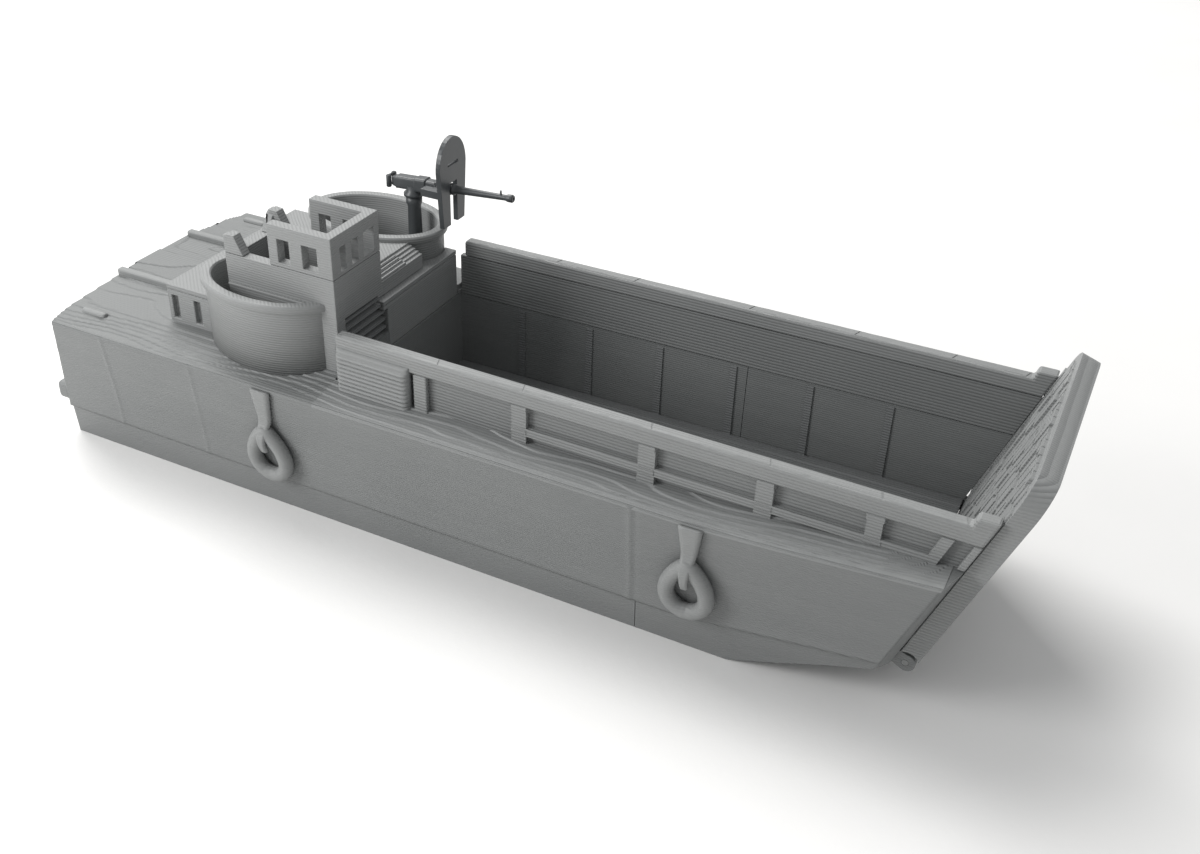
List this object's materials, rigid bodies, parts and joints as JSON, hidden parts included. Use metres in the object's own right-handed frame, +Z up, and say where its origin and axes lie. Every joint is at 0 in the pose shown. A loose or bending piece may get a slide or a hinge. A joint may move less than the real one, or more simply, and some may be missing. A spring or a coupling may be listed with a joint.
{
  "type": "scale model military landing craft",
  "caption": "Printed table model of a decked landing craft: open cargo well behind a bow ramp that lowers, railed bulwarks, offset pilothouse, oval gun tubs and ring fenders.",
  "frame": {"origin": "middle of the model's footprint, on the surface it stands on", "axes": "+X towards the bow, +Y to port, +Z up"},
  "size_m": [0.1508, 0.0502, 0.0484],
  "materials": {
    "grey_print": "matt grey printed plastic with fine layer lines",
    "dark_resin": "smooth dark grey cast resin, slight sheen"
  },
  "bodies": {
    "craft": {"aft_rail_post_port": "grey_print", "aft_rail_post_starboard": "grey_print", "bow_post_port": "grey_print", "bow_post_starboard": "grey_print", "bulwark_panel_port": "grey_print", "bulwark_panel_starboard": "grey_print", "cargo_floor": "grey_print", "casing_roof": "grey_print", "cleat_port": "grey_print", "cleat_starboard": "grey_print", "deck_strip_port": "grey_print", "deck_strip_starboard": "grey_print", "engine_casing": "grey_print", "engine_hatch": "grey_print", "fender_aft_port": "grey_print", "fender_aft_starboard": "grey_print", "fender_bow_port": "grey_print", "fender_bow_starboard": "grey_print", "fender_strap_aft_port": "grey_print", "fender_strap_aft_starboard": "grey_print", "fender_strap_bow_port": "grey_print", "fender_strap_bow_starboard": "grey_print", "gun_pedestal": "dark_resin", "gun_tub_port": "grey_print", "gun_tub_starboard": "grey_print", "hull_aft": "grey_print", "hull_bow": "grey_print", "louvre_box_port": "grey_print", "louvre_box_starboard": "grey_print", "pilothouse_horn_port": "grey_print", "pilothouse_horn_starboard": "grey_print", "pilothouse_walls": "grey_print", "pilothouse_window_frame": "grey_print", "rail_lattice_port": "grey_print", "rail_lattice_starboard": "grey_print", "ramp_hinge_pin": "grey_print", "top_rail_port": "grey_print", "top_rail_starboard": "grey_print", "transom_ledge": "grey_print", "well_end_grille": "grey_print"},
    "ramp": {"bow_ramp": "grey_print"},
    "gun": {"deck_gun": "dark_resin", "gun_shield": "dark_resin"}
  },
  "joints": [
    {"name": "ramp_hinge", "type": "hinge", "parent": "craft", "child": "ramp", "pos_m": [0.0636, 0, 0.0074], "axis": [0, 1, 0], "range_deg": [0, 80]},
    {"name": "gun_swivel", "type": "hinge", "parent": "craft", "child": "gun", "pos_m": [-0.0292, 0.0155, 0.0394], "axis": [0, 0, 1], "range_deg": [-70, 70]}
  ]
}
